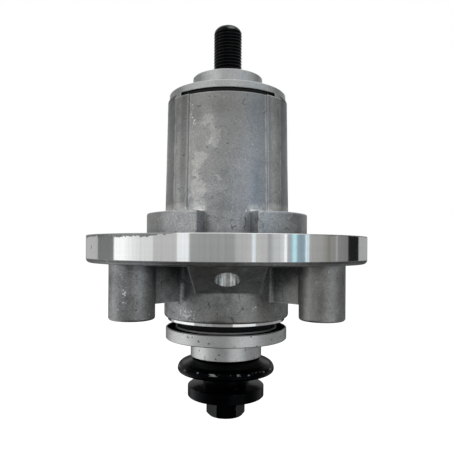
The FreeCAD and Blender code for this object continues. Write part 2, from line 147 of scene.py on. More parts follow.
def closeMaterial(tree, spec, colour, height):
    # The shader with its colour and its small relief, and the material's output
    settings = {"Strength": 1.0, "Distance": spec["bumpMm"] * mm}
    bump = addNode(tree, "Bump", settings, {"Height": height})
    shader = addNode(tree, "BsdfPrincipled", spec["surface"], {"Base Color": colour, "Normal": bump})
    addNode(tree, "OutputMaterial", links={"Surface": shader})


# The camera: a short portrait distance, level, a little to the left of the front
camera = {
    "distance": 0.280,
    "height": -0.0063,
    "azimuth": -0.5,  # degrees, negative is to the left
    "roll": 0.38,
    "sensorWidth": 36.0,
    "focalPixels": 490.0,
    "imageWidth": 452,
    "horizonBelowCentre": 22.0,  # pixels, taken up by the lens shift
    "axisRightOfCentre": 0.6,
    "clip": (0.01, 20),
}


def makeCamera(spec):
    turn = math.radians(spec["azimuth"])
    place = (spec["distance"] * math.sin(turn), -spec["distance"] * math.cos(turn), spec["height"])
    data = bpy.data.cameras.new("camera")
    data.sensor_width = spec["sensorWidth"]
    data.lens = spec["focalPixels"] / spec["imageWidth"] * data.sensor_width
    data.shift_x = -spec["axisRightOfCentre"] / spec["imageWidth"]
    data.shift_y = spec["horizonBelowCentre"] / spec["imageWidth"]
    data.clip_start, data.clip_end = spec["clip"]
    obj = bpy.data.objects.new("camera", data)
    bpy.context.scene.collection.objects.link(obj)
    level = Matrix.Rotation(turn, 4, "Z") @ Matrix.Rotation(math.pi / 2, 4, "X")
    rolled = level @ Matrix.Rotation(math.radians(spec["roll"]), 4, "Z")
    obj.matrix_world = Matrix.Translation(place) @ rolled
    bpy.context.scene.camera = obj


makeCamera(camera)
bpy.context.scene.view_settings.view_transform = "Standard"
print("camera placed")

# The studio: white all round, a pale floor below the object, two rings of grey card
# panels, one above the other, and cards on the ground that turn up at their far edge.
# Only reflections see the cards. The turned rim mirrors the low ring, the tube's dull
# skin mostly the high one, and what hangs below the flange also the ground.
# Each card is (from, to, colour) in degrees, 0 towards the camera and positive to the
# right, and one with a second colour fades to it.
studio = {
    "floorHeight": -160 * mm,
    "floorHalfWidth": 4.0,
    "floorColour": "#f4f4f2",
    "floorFaint": "#9a9a9a",
    "floorGlow": 0.80,
    "worldForDiffuse": 0.85,
    "keyPower": 9.0,
    "keySize": 0.7,
    "keyPlace": (-0.75, -0.85, 0.80),
    "cardStep": 2,  # degrees from one fold of a card to the next
    "cardFoot": -158.5 * mm,
    "ringRadius": 600 * mm,
    "ringMiddle": 95 * mm,
    "ringTop": 620 * mm,
    "skirtTop": -92 * mm,
    "shadeRadius": 115 * mm,
    "shadeSides": 48,
    "shadeCard": "#262627",
    "ground": {
        "back": (132, 228, "#3c3c3c"),
        "farLeft": (-132, -118, "#b4b4b4"),
        "left": (-118, -62, "#ffffff"),
        "leftFront": (-62, -38, "#a8a8a8"),
        "front": (-38, 12, "#828282"),
        "frontRight": (12, 56, "#ececec"),
        "right": (56, 100, "#8a8a8a"),
        "farRight": (100, 132, "#9c9c9c"),
    },
    "high": {
        "farLeft": (-150, -113, "#a0a0a0"),
        "leftDark": (-113, -90, "#767676"),
        "leftGrey": (-90, -72, "#cacaca"),
        "leftPale": (-72, -53, "#e0e0e0"),
        "leftWhite": (-53, -26, "#f4f4f4"),
        "front": (-26, 5, "#c4c4c4"),
        "frontRight": (5, 30, "#d0d0d0"),
        "right": (30, 46, "#d2d4d8"),
        "rightBlue": (46, 62, "#bccad6"),
        "rightGrey": (62, 88, "#c4c3c1"),
        "rightDark": (88, 101, "#9c9c9c"),
        "black": (101, 118, "#565656"),
        "farRight": (118, 150, "#a8a8a8"),
    },
    "low": {
        "farLeft": (-150, -113.3, "#b2b2b2"),
        "leftDark": (-113.3, -90.4, "#727272"),
        "leftFade": (-79, -65, "#fdfdfd", "#d9d9d9"),
        "leftPale": (-65, -53.1, "#d8d8d8"),
        "leftGrey": (-53.1, -34.8, "#b8b8b7"),
        "leftStrip": (-34.8, -26.2, "#f0f2f4"),
        "front": (-26.2, 5, "#969696"),
        "frontRight": (5, 16.9, "#afaeae"),
        "stripOne": (16.9, 19.3, "#e2eaee"),
        "rightPale": (19.3, 28, "#b2b2b1"),
        "rightBand": (28, 30.9, "#949597"),
        "rightLight": (30.9, 40, "#b0b2b3", "#c6c8ca"),
        "blueGrey": (41.9, 46, "#9ca4ab"),
        "cyan": (46, 49.6, "#b4e2ea"),
        "slate": (49.6, 56.4, "#8094a0"),
        "stripTwo": (56.5, 58.1, "#dcf0f8"),
        "stripGap": (58.1, 58.7, "#9cb8c8"),
        "stripThree": (58.7, 59.6, "#e8f6fc"),
        "rightMid": (59.6, 72.5, "#a2a19f", "#979796"),
        "rightFold": (72.5, 79.4, "#96958f", "#767570"),
        "rightDim": (79.4, 85.7, "#888785"),
        "rightLine": (85.7, 87.2, "#a8a8a7"),
        "rightDark": (87.2, 100.7, "#838382", "#777777"),
        "black": (100.7, 118.4, "#171717"),
        "farRight": (118.4, 150, "#a5a5a5"),
        "back": (150, 210, "#454545"),
    },
}


def addMesh(name, vertices, faces, material):
    mesh = bpy.data.meshes.new(name)
    mesh.from_pydata([tuple(v) for v in vertices], [], faces)
    mesh.materials.append(material)
    obj = bpy.data.objects.new(name, mesh)
    bpy.context.scene.collection.objects.link(obj)
    return obj


def cardMaterial():
    material, tree = startMaterial("lit card")
    tone = addNode(tree, "VertexColor", {"layer_name": "tone"})
    glow = addNode(tree, "Emission", {"Strength": 1.0}, {"Color": tone})
    addNode(tree, "OutputMaterial", links={"Surface": glow})
    return material


litCard = cardMaterial()


def addCard(name, vertices, faces, tones):
    # Only reflections see a card
    obj = addMesh("card_" + name, vertices, faces, litCard)
    layer = obj.data.color_attributes.new("tone", "FLOAT_COLOR", "POINT")
    for point, tone in zip(layer.data, tones):
        point.color = tone
    obj.visible_camera = False
    obj.visible_diffuse = False
    obj.visible_shadow = False
    obj.visible_transmission = False


def makeCard(name, profile, start, end, colour, endColour=None):
    # A card bent round the axis. Its profile is (radius, height) from foot to top
    steps = max(1, round((end - start) / studio["cardStep"]))
    first, last = Vector(hexColour(colour)), Vector(hexColour(endColour or colour))
    vertices, faces, tones = [], [], []
    for step in range(steps + 1):
        turn = math.radians(start + (end - start) * step / steps)
        for radius, height in profile:
            vertices.append((radius * math.sin(turn), -radius * math.cos(turn), height))
            tones.append(first.lerp(last, step / steps))
    for step in range(steps):
        for row in range(len(profile) - 1):
            near = step * len(profile) + row
            far = near + len(profile)
            faces.append((near, far, far + 1, near + 1))
    addCard(name, vertices, faces, tones)


def makeShade():
    # A dark round patch on the ground, right below the object: a painted shadow that only reflections
    # see
    sides, radius, height = studio["shadeSides"], studio["shadeRadius"], studio["cardFoot"]
    vertices = []
    for side in range(sides):
        turn = 2 * math.pi * side / sides
        vertices.append((radius * math.cos(turn), radius * math.sin(turn), height))
    tones = [hexColour(studio["shadeCard"])] * sides
    addCard("shade", vertices, [tuple(range(sides))], tones)


def seenDirectly(tree):
    # 1 to the camera, in reflections and through glass, 0 as light that falls on a surface
    path = addNode(tree, "LightPath")
    rays = ("Camera", "Glossy", "Transmission")
    return strongest(tree, *[path.outputs["Is " + ray + " Ray"] for ray in rays])


def makeFloor():
    # White to the eye and in reflections, and still darker where the object shades it
    material, tree = startMaterial("pale studio floor")
    matt = addNode(tree, "BsdfDiffuse", {"Color": hexColour(studio["floorColour"])})
    faint = addNode(tree, "BsdfDiffuse", {"Color": hexColour(studio["floorFaint"])})
    glow = addNode(tree, "Emission", {"Color": (1, 1, 1, 1), "Strength": studio["floorGlow"]})
    both = addNode(tree, "AddShader", links={0: faint, 1: glow})
    mixed = addNode(tree, "MixShader", links={0: seenDirectly(tree), 1: matt, 2: both})
    addNode(tree, "OutputMaterial", links={"Surface": mixed})
    half, height = studio["floorHalfWidth"], studio["floorHeight"]
    corners = [(x * half, y * half, height) for x, y in ((-1, -1), (1, -1), (1, 1), (-1, 1))]
    addMesh("floor", corners, [(0, 1, 2, 3)], material)


def makeWorld():
    world = bpy.data.worlds.new("studio")
    bpy.context.scene.world = world
    world.use_nodes = True
    tree = world.node_tree
    tree.nodes.clear()
    brightness = {"To Min": studio["worldForDiffuse"], "To Max": 1.0}
    strength = addNode(tree, "MapRange", brightness, {"Value": seenDirectly(tree)})
    light = addNode(tree, "Background", {"Color": (1, 1, 1, 1)}, {"Strength": strength})
    addNode(tree, "OutputWorld", links={"Surface": light})


def makeKey():
    # A large soft lamp at the upper left, which the metals don't mirror
    data = bpy.data.lights.new("key", "AREA")
    data.energy = studio["keyPower"]
    data.size = studio["keySize"]
    lamp = bpy.data.objects.new("key", data)
    bpy.context.scene.collection.objects.link(lamp)
    place = Vector(studio["keyPlace"])
    aimed = place.to_track_quat("Z", "Y").to_matrix().to_4x4()
    lamp.matrix_world = Matrix.Translation(place) @ aimed
    lamp.visible_glossy = False


ring, ground, skirt, middle = (
    studio[name] for name in ("ringRadius", "cardFoot", "skirtTop", "ringMiddle")
)
cardProfiles = {
    "ground": [(studio["shadeRadius"], ground), (ring, ground), (ring, skirt)],
    "low": [(ring, skirt), (ring, middle)],
    "high": [(ring, middle), (ring, studio["ringTop"])],
}
for group, profile in cardProfiles.items():
    for cardName, card in studio[group].items():
        makeCard(group + "_" + cardName, profile, *card)
makeShade()
makeFloor()
makeWorld()
makeKey()
print("studio set")

# Die cast aluminium, left as it came from the mould: a dull grey skin with pale and
# dark flow patches, fine grain, hairline cold laps, pits and a few bright grains, which
# are painted glints. Painted light and shade lie over the skin as well.
# Its turned faces are bright, with round tool marks that draw reflections upwards.
# Sizes of patterns and marks are in mm, and so is offRib. Heights and other distances
# on the surface are in metres.
housingFinish = {
    "skin": "#b3b5b6",
    "pale": "#dcdcda",
    "dark": "#85878a",
    "cool": "#a3abbd",
    "warm": "#b5b2a8",
    "lap": "#5c5d60",
    # The bright colour of rubbed edges and pale feet, and of painted glints and highlights
    "grain": "#f4f4f2",
    "glint": "#ffffff",
    # Noises: size, detail, roughness and distortion
    "noises": {
        "bent": (6, 3.0, 0.5, 0.0),
        "flow": (17, 5.0, 0.62, 0.9),
        "patch": (5.5, 4.0, 0.6, 0.4),
        "speck": (0.85, 3.0, 0.7, 0.0),  # the real grain is finer than a pixel, so coarser here
        "island": (8, 6.0, 0.74, 0.8),
        "tint": (55, 1.0, 0.5, 0.0),
        "glitter": (1.3, 2.0, 0.6, 0.0),
        "rubbed": (7, 4.0, 0.65, 0.0),
        "burrs": (0.95, 1.0, 0.5, 0.0),
        "chips": (3.2, 3.0, 0.65, 0.0),
    },
    "bend": 7 * mm,  # how far laps and marks are bent off their place
    # Marks: what place they go by, their strength, then the centre and half sizes of each
    "marks": {
        # Pale flow marks on the front of the tube, and darker ones between them
        "paleMarks": (
            "bend", 0.22,
            (-9.2, -33, 57.5, 5.0, 9, 6.5),
            (-7.0, -33, 47.5, 3.0, 9, 8.0),
            (-14.5, -31, 38.0, 5.4, 9, 6.5),
            (-15.0, -30, 24.0, 5.4, 9, 14.0),
        ),
        "darkMarks": (
            "bend", 0.42,
            (-16.0, -31, 61.0, 4.6, 9, 5.6),
            (-13.8, -31, 47.0, 4.4, 9, 5.4),
        ),
        # Scraped places, where the skin sparkles with painted glints
        "scrapes": (
            "bend", 0.19,
            (-20.0, -28, -40.0, 7.5, 9, 4.6),
            (-13.5, -32, 14.0, 2.6, 9, 2.2),
            (12.0, -35, 12.4, 2.6, 9, 4.4),
            (13.7, -33, -36.5, 2.4, 9, 3.4),
            (-17.6, -30, 61.0, 0.9, 9, 9.0),
        ),
        "deepScrape": ("place", 0.27, (-47.1, -54, -28.4, 1.6, 9, 5.4)),
        # Cracks in the skin, narrow and tall
        "cracks": (
            "bend", 0.8,
            (10.2, -35, 6.5, 0.6, 9, 4.6),
            (-8.8, -34, -35.5, 0.55, 9, 3.0),
            (13.6, -34, 8.0, 0.5, 9, 3.4),
        ),
        "rimNick": ("bend", 0.7, (-67.1, -38.4, -6.0, 0.9, 3, 1.5)),
    },
    "markFade": (1.0, 0.45),  # from a mark's edge to where it is full, as shares of its size
    # Bands along a rib, by offRib: middle, half width, softness and strength
    "bands": {
        "ribBody": (-1.0, 5.6, 0.8, 1.0),
        # A rubbed line with a painted highlight along each side of a rib
        "ribLine": (6.1, 0.35, 0.25, 1.0),
        "ribBack": (-4.0, 0.35, 0.25, 1.6),
        # Painted light and shade on the ribs' faces: pale and dark bands on the left, pale on the
        # right
        "leftPale": (-1.8, 2.0, 0.8, 0.20),
        "leftDark": (3.3, 2.0, 0.8, 0.26),
        "rightPale": (0.4, 3.6, 1.0, 0.22),
    },
    # Zones: each limit is a comparison, what it looks at, and a number. COMPARE has two,
    # a middle and how far from it still counts
    "zones": {
        "onTube": [("GREATER_THAN", "tall", 12.5 * mm)],
        "onCollar": [("COMPARE", "tall", 6.3 * mm, 6.2 * mm)],
        "offBosses": [("LESS_THAN", "reach", 50 * mm)],
        "toRight": [("GREATER_THAN", "across", 0.0)],
        "inFront": [("LESS_THAN", "deep", 0.0)],
        "topFace": [("COMPARE", "tall", 0.0, 0.04 * mm)],
        "nose": [("LESS_THAN", "tall", -44.85 * mm)],
        "drilled": [("LESS_THAN", "fromHole", 6.4 * mm)],
        "rim": [("GREATER_THAN", "tall", -12.1 * mm), ("GREATER_THAN", "reach", 76.5 * mm)],
        "rimTop": [("GREATER_THAN", "tall", -4 * mm), ("GREATER_THAN", "reach", 76.5 * mm)],
        "rimRound": [("COMPARE", "tall", -13.25 * mm, 1.15 * mm), ("GREATER_THAN", "reach", 74 * mm)],
        # Where painted shade lies, in the corner of a web and the hub
        "webCorner": [
            ("COMPARE", "webOff", 4.6, 1.8),
            ("COMPARE", "reach", 37.2 * mm, 2.0 * mm),
            ("LESS_THAN", "tall", -12.5 * mm),
        ],
    },
    # Ranges: what is looked at, and the share, shade or depth that it gives
    "ranges": {
        "paleFlow": ("flow", span(0.50, 0.75, high=0.3)),
        "darkFlow": ("flow", span(0.50, 0.30, high=0.4)),
        "mottleDepth": ("tall", span(-12 * mm, -15 * mm, 0.5, 1.3)),
        "speckDepth": ("tall", span(14 * mm, 12 * mm, 1.35, 1.6)),
        "coolTint": ("tint", span(0.50, 0.66, high=0.14)),
        # A painted blue reflection, growing to the right
        "paintedBlueReflection": ("across", span(-6 * mm, 14 * mm, high=0.20)),
        "coolAbove": ("tall", span(9 * mm, 16 * mm, 0.1)),
        "warmTint": ("tint", span(0.48, 0.34, high=0.35)),
        "lapsBelow": ("tall", span(14 * mm, 8 * mm, high=0.08)),
        "grainFrom": ("tall", span(10 * mm, 20 * mm, 0.955, 0.988)),
        "rubbing": ("rubbed", span(0.40, 0.62, 0.15, 0.60)),
        "foot": ("tall", span(17.5 * mm, 12.2 * mm, high=3.4)),  # over 1, as the rubbing is patchy
        "overCollar": ("offRib", span(16.5, 13.5)),
        # Painted shade below the flange, in the mouth and on the lip
        "undersideShade": ("tall", span(-12.5 * mm, -14.5 * mm, 1.0, 0.72)),
        "mouthShadow": ("tall", span(48 * mm, 66 * mm, 1.0, 0.74)),
        "lipShadow": ("tall", span(72.7 * mm, 73.2 * mm, 1.0, 0.74)),
        # Painted shade on the rim's lower round
        "roundTopShade": ("tall", span(-12.1 * mm, -12.5 * mm, 0.75, 0.30)),
        "roundFootShade": ("tall", span(-13 * mm, -14 * mm, 0.30, 0.75)),
        "webHigh": ("tall", span(-27 * mm, -23 * mm)),
        # Painted shade just behind each rib
        "behindRib": ("offRib", span(-4.3, -4.9, 1.0, 0.86)),
        # How dark the painted shade in corners may get, darker below the flange
        "cornerShade": ("tall", span(-12.5 * mm, -14.5 * mm, 0.62, 0.30)),
        "roughness": ("patch", span(0.3, 0.7, 0.34, 0.52)),
        "holeShade": ("patch", span(0.36, 0.64, 0.36, 0.78)),
        "raggedSides": ("sideways", span(30 * mm, 38 * mm, high=0.35)),
        "raggedLeft": ("across", span(-21 * mm, -29 * mm)),
        "chipDepth": ("chips", span(0.34, 0.62, 0.5 * mm, 1.9 * mm)),
    },
    "islands": span(0.615, 0.65, high=0.66),
    "mottleMean": 0.99,
    "ribWarmth": 0.16,
    "ribCooling": -0.9,  # how much of the cool cast a rib takes away
    "lapMm": 16,
    "lapLine": span(0.026, 0.006),
    "lapBroken": span(0.57, 0.65, high=0.66),
    "pitMm": 4.6,
    "pitSpot": span(0.15, 0.07, high=0.5),
    "pitFrom": 0.90,
    "grainMm": 2.6,
    "grainSpot": span(0.22, 0.12, high=0.7),
    "edgeMm": 0.8,
    "edgeRub": span(0.99, 0.90, high=0.8),
    # Painted glints in scraped places, and white ones on the deep scrape
    "scrapeSpots": span(0.70, 0.77),
    "glintSpots": span(0.77, 0.80),
    "collarLift": 0.12,
    # How much darker the cast skin is along the top of the rim
    "rimTopDarker": -0.36,
    "webCornerShade": -0.5,
    "cornerMm": 8,
    "cornerOpen": span(0.25, 0.85),
    "heights": (0.35, -1.6, -0.5),  # of the specks, the pits and the laps, in parts of bumpMm
    "bumpMm": 0.09,
    "turned": "#fafbfb",
    "turnedFace": -0.20,  # how much the top face is darker than the rim
    "turnedSurface": {
        "Metallic": 1.0, "Roughness": 0.13, "Anisotropic": 0.95, "Anisotropic Rotation": 0.25,
    },
    "chatterMm": 1.6,
    "chatterRise": 12,  # a low scale, so that chatter marks stand from foot to top
    "chatterNoise": {"Scale": 1.0, "Detail": 4.0, "Roughness": 0.7},
    # Tool chatter, and painted streaks of reflection
    "chatterAndReflectionShade": span(0.3, 0.7, 0.92, 1.03),
    "feedMm": 0.9,  # the real feed marks are about 0.2 mm apart, too fine to show
    "feedRound": 6,  # a low scale, so that a ring hardly changes on its way round
    "feedNoise": {"Scale": 1.0, "Detail": 2.0},
    "feedDepth": (0.5, 0.1),  # more on the top face, and everywhere
    "rimHigh": 0.01 * mm,
    "holeCircle": 48.7 * mm,
}


def roundMark(tree, place, fade, strength, mark):
    # A soft mark on the surface, from its centre and its half sizes
    centre = [value * mm for value in mark[:3]]
    sizes = [patternScale(half) for half in mark[3:]]
    moved = addNode(tree, "VectorMath", {"operation": "SUBTRACT", 1: centre}, {0: place})
    scaled = addNode(tree, "VectorMath", {"operation": "MULTIPLY", 1: sizes}, {0: moved})
    away = addNode(tree, "VectorMath", {"operation": "LENGTH"}, {0: scaled})
    return addNode(tree, "MapRange", span(*fade, high=strength), {"Value": away})


def bandMask(tree, value, middle, half, soft, strength):
    # How much of a band of that half width, with soft edges, is at a value
    away = addNode(tree, "Math", {"operation": "SUBTRACT", 1: middle}, {0: value})
    away = addNode(tree, "Math", {"operation": "ABSOLUTE"}, {0: away})
    return addNode(tree, "MapRange", span(half + soft, half - soft, high=strength), {"Value": away})


def waver(tree, noise, depth, mean=1.0):
    # A shade that a noise moves about its mean, by a depth that differs from place to place
    centred = addNode(tree, "Math", {"operation": "SUBTRACT", 1: 0.5}, {0: noise})
    return addNode(tree, "Math", {"operation": "MULTIPLY_ADD", 2: mean}, {0: centred, 1: depth})


def surveyHousing(tree, spec):
    # All that the finish goes by: where a point is, the noises, marks, bands, zones and ranges
    at = surfacePlace(tree)
    for name, part in (("sideways", "across"), ("forward", "deep")):
        at[name] = addNode(tree, "Math", {"operation": "ABSOLUTE"}, {0: at[part]})
    # How far round a point is from the nearest diagonal, forward being positive
    offRib = addNode(tree, "Math", {"operation": "SUBTRACT"}, {0: at["forward"], 1: at["sideways"]})
    toMm = {"operation": "MULTIPLY", 1: 1000 / math.sqrt(2)}
    at["offRib"] = addNode(tree, "Math", toMm, {0: offRib})
    at["webOff"] = addNode(tree, "Math", {"operation": "ABSOLUTE"}, {0: at["offRib"]})
    # How far it is from the middle of the nearest of the four gusset holes
    longer, shorter = (
        addNode(tree, "Math", {"operation": operation}, {0: at["sideways"], 1: at["forward"]})
        for operation in ("MAXIMUM", "MINIMUM")
    )
    folded = addNode(tree, "CombineXYZ", links={0: longer, 1: shorter})
    hole = {"operation": "DISTANCE", 1: (spec["holeCircle"], 0, 0)}
    at["fromHole"] = addNode(tree, "VectorMath", hole, {0: folded})
    for name, (size, detail, roughness, distortion) in spec["noises"].items():
        settings = {
            "Scale": patternScale(size), "Detail": detail,
            "Roughness": roughness, "Distortion": distortion,
        }
        at[name] = addNode(tree, "TexNoise", settings, {"Vector": at["place"]})
    centre = {"operation": "SUBTRACT", 1: (0.5, 0.5, 0.5)}
    bend = addNode(tree, "VectorMath", centre, {0: at["bent"].outputs["Color"]})
    bend = addNode(tree, "VectorMath", {"operation": "SCALE", "Scale": spec["bend"]}, {0: bend})
    at["bend"] = addNode(tree, "VectorMath", {"operation": "ADD"}, {0: at["place"], 1: bend})
    for name, (where, strength, *marks) in spec["marks"].items():
        masks = [roundMark(tree, at[where], spec["markFade"], strength, mark) for mark in marks]
        at[name] = strongest(tree, *masks)
    for name, band in spec["bands"].items():
        at[name] = bandMask(tree, at["offRib"], *band)
    for name, limits in spec["zones"].items():
        at[name] = zone(tree, at, limits)
    for name, (value, reached) in spec["ranges"].items():
        at[name] = addNode(tree, "MapRange", reached, {"Value": at[value]})
    return at


def paintedLightAndShade(tree, spec, at, foot):
    # Painted light and shade: shade below the flange, in the mouth's shadow, on the lip, on
    # the rim's lower round, behind the ribs and in the corners, and light and shade on the
    # ribs. The collars are a little lighter and the top of the rim darker
    # The rim's lower round gets painted shade
    notRound = addNode(tree, "Math", {"operation": "SUBTRACT", 0: 1.0}, {1: at["rimRound"]})
    shades = [
        at["undersideShade"], at["mouthShadow"], at["lipShadow"],
        strongest(tree, at["roundTopShade"], at["roundFootShade"], notRound),
    ]
    # Painted shade lies deep in the round corner where a web runs into the hub
    shadedWebFoot = together(tree, at["webCorner"], at["webHigh"])
    changes = (at["onCollar"], "collarLift"), (at["rimTop"], "rimTopDarker"), (shadedWebFoot, "webCornerShade")
    for mask, change in changes:  # a shade of 1, and changed by so much under the mask
        settings = {"operation": "MULTIPLY_ADD", 1: spec[change], 2: 1.0}
        shades.append(addNode(tree, "Math", settings, {0: mask}))
    # Painted shade just behind each rib, on the tube only
    offTube = addNode(tree, "Math", {"operation": "SUBTRACT", 0: 1.0}, {1: at["onTube"]})
    shades.append(strongest(tree, at["behindRib"], offTube))
    # Painted shade in the corners, from ambient occlusion, kept off the pale feet
    openness = addNode(tree, "AmbientOcclusion", {"samples": 8, "Distance": spec["cornerMm"] * mm})
    corner = addNode(
        tree, "MapRange", spec["cornerOpen"],
        {"Value": openness.outputs["AO"], "To Min": at["cornerShade"]},
    )
    shades.append(strongest(tree, corner, foot))
    # Painted light and shade on the ribs: those on the left have a pale and a dark band,
    # those on the right are pale
    left = addNode(tree, "Math", {"operation": "SUBTRACT"}, {0: at["leftPale"], 1: at["leftDark"]})
    bands = addNode(
        tree, "Mix", {"data_type": "FLOAT"}, {0: at["toRight"], 2: left, 3: at["rightPale"]}
    )
    shades.append(
        addNode(tree, "Math", {"operation": "MULTIPLY_ADD", 2: 1.0}, {0: bands, 1: at["onTube"]})
    )
    return together(tree, *shades)


def castSkin(tree, spec, at):
    # Flow patches and marks, then the mottle and the fine grain
    island = addNode(tree, "Math", {"operation": "ADD"}, {0: at["paleMarks"], 1: at["island"]})
    island = addNode(tree, "MapRange", spec["islands"], {"Value": island})
    colour = addNode(
        tree, "Mix", {"data_type": "RGBA", 6: hexColour(spec["skin"]), 7: hexColour(spec["pale"])},
        {0: strongest(tree, at["paleFlow"], island)},
    )
    colour = coloured(tree, colour, (strongest(tree, at["darkFlow"], at["darkMarks"]), spec["dark"]))
    shade = together(
        tree,
        waver(tree, at["patch"], at["mottleDepth"], spec["mottleMean"]),
        waver(tree, at["speck"], at["speckDepth"]),
    )
    colour = addNode(tree, "VectorMath", {"operation": "SCALE"}, {0: colour, "Scale": shade})

    # A faint blue or brown cast, as the oxide skin has, and a painted blue reflection that
    # grows to the right
    onRib = together(tree, at["ribBody"], at["onTube"])
    ribWarm = addNode(tree, "Math", {"operation": "MULTIPLY", 1: spec["ribWarmth"]}, {0: onRib})
    settings = {"operation": "MULTIPLY_ADD", 1: spec["ribCooling"], 2: 1.0}
    keptCool = addNode(tree, "Math", settings, {0: onRib})
    # The painted blue reflection, on the right and mostly above the collars
    side = together(tree, at["paintedBlueReflection"], at["coolAbove"])
    cool = addNode(tree, "Math", {"operation": "ADD"}, {0: at["coolTint"], 1: side})
    cool = together(tree, cool, keptCool)
    warm = strongest(tree, at["warmTint"], ribWarm)

    # Cold laps: broken dark hairlines
    laps = addNode(
        tree, "TexVoronoi", {"feature": "DISTANCE_TO_EDGE", "Scale": patternScale(spec["lapMm"])},
        {"Vector": at["bend"]},
    )
    line = addNode(tree, "MapRange", spec["lapLine"], {"Value": laps})
    broken = addNode(tree, "Math", {"operation": "ADD"}, {0: at["patch"], 1: at["lapsBelow"]})
    broken = addNode(tree, "MapRange", spec["lapBroken"], {"Value": broken})
    lap = strongest(tree, together(tree, line, broken, at["offBosses"]), at["cracks"])

    # Pits, and bright grains that are painted glints: one cell in so many holds one
    pit, pitCell = spotCells(tree, at["place"], spec["pitMm"], spec["pitSpot"])
    pitHere = {"operation": "GREATER_THAN", 1: spec["pitFrom"]}
    pit = together(tree, pit, addNode(tree, "Math", pitHere, {0: pitCell.outputs["Red"]}))
    grain, grainCell = spotCells(tree, at["bend"], spec["grainMm"], spec["grainSpot"])
    grainHere = addNode(
        tree, "Math", {"operation": "GREATER_THAN"},
        {0: grainCell.outputs["Green"], 1: at["grainFrom"]},
    )

    # Scraped places sparkle in painted glints, and a rubbed line with a painted highlight
    # runs along each side of a rib
    scraped = addNode(tree, "Math", {"operation": "ADD"}, {0: at["scrapes"], 1: at["glitter"]})
    scraped = addNode(tree, "MapRange", spec["scrapeSpots"], {"Value": scraped})
    wearAndHighlights = strongest(tree, at["ribLine"], at["ribBack"])
    wearAndHighlights = together(tree, wearAndHighlights, at["rubbing"], at["onTube"])
    # Pale feet, where the collars meet the tube
    foot = together(tree, at["foot"], at["overCollar"], at["onTube"])
    foot = addNode(
        tree, "Math", {"operation": "MULTIPLY", "use_clamp": True}, {0: foot, 1: at["rubbing"]}
    )
    bright = strongest(
        tree, rubbedEdges(tree, spec), together(tree, grain, grainHere), scraped, wearAndHighlights, foot
    )
    colour = coloured(
        tree, colour, (cool, spec["cool"]), (warm, spec["warm"]), (lap, spec["lap"]),
        (pit, spec["lap"]), (bright, spec["grain"]),
    )
    # Painted light and shade over the whole skin
    paintedShading = paintedLightAndShade(tree, spec, at, foot)
    colour = addNode(tree, "VectorMath", {"operation": "SCALE"}, {0: colour, "Scale": paintedShading})
    # Painted white glints on the deep scrape, laid over the painted shade
    glints = addNode(tree, "Math", {"operation": "ADD"}, {0: at["deepScrape"], 1: at["burrs"]})
    glints = addNode(tree, "MapRange", spec["glintSpots"], {"Value": glints})
    colour = coloured(tree, colour, (glints, spec["glint"]))

    height = at["patch"]
    for share, part in zip(spec["heights"], (at["speck"], pit, lap)):
        settings = {"operation": "MULTIPLY_ADD", 1: share}
        height = addNode(tree, "Math", settings, {0: part, 2: height})
    relief = {"Strength": 1.0, "Distance": spec["bumpMm"] * mm}
    bump = addNode(tree, "Bump", relief, {"Height": height})
    return addNode(
        tree, "BsdfPrincipled", {"Metallic": 1.0},
        {"Base Color": colour, "Roughness": at["roughness"], "Normal": bump},
    )


def turnedSkin(tree, spec, at):
    # The marks run round the axis, so they spread light along it, and the tool's chatter
    # crosses them. The chatter's streaks are partly painted streaks of reflection
    chatter = patternScale(spec["chatterMm"])
    stretch = {"operation": "MULTIPLY", 1: (chatter, chatter, spec["chatterRise"])}
    marks = addNode(tree, "VectorMath", stretch, {0: at["place"]})
    marks = addNode(tree, "TexNoise", spec["chatterNoise"], {"Vector": marks})
    marks = addNode(tree, "MapRange", spec["chatterAndReflectionShade"], {"Value": marks})
    # The feed marks are rings, one above the other on the rim, one inside the other on a face
    outwards = addNode(tree, "Math", {"operation": "ADD"}, {0: at["tall"], 1: at["reach"]})
    feed = addNode(tree, "CombineXYZ", links={0: at["across"], 1: at["deep"], 2: outwards})
    rings = (spec["feedRound"], spec["feedRound"], patternScale(spec["feedMm"]))
    feed = addNode(tree, "VectorMath", {"operation": "MULTIPLY", 1: rings}, {0: feed})
    feed = addNode(tree, "TexNoise", spec["feedNoise"], {"Vector": feed})
    onFace, everywhere = spec["feedDepth"]
    depth = {"operation": "MULTIPLY_ADD", 1: onFace, 2: everywhere}
    feed = waver(tree, feed, addNode(tree, "Math", depth, {0: at["topFace"]}))
    feed = addNode(
        tree, "Math", {"operation": "MULTIPLY_ADD", 1: spec["turnedFace"]},
        {0: at["topFace"], 2: feed},
    )
    nick = addNode(tree, "Math", {"operation": "SUBTRACT", 0: 1.0}, {1: at["rimNick"]})
    settings = {"data_type": "FLOAT", 2: 1.0}
    hole = addNode(tree, "Mix", settings, {0: at["drilled"], 3: at["holeShade"]})
    colour = addNode(
        tree, "VectorMath", {"operation": "SCALE", 0: hexColour(spec["turned"])[:3]},
        {"Scale": together(tree, marks, feed, nick, hole)},
    )
    around = addNode(tree, "Tangent", {"direction_type": "RADIAL", "axis": "Z"})
    return addNode(
        tree, "BsdfPrincipled", spec["turnedSurface"], {"Base Color": colour, "Tangent": around}
    )


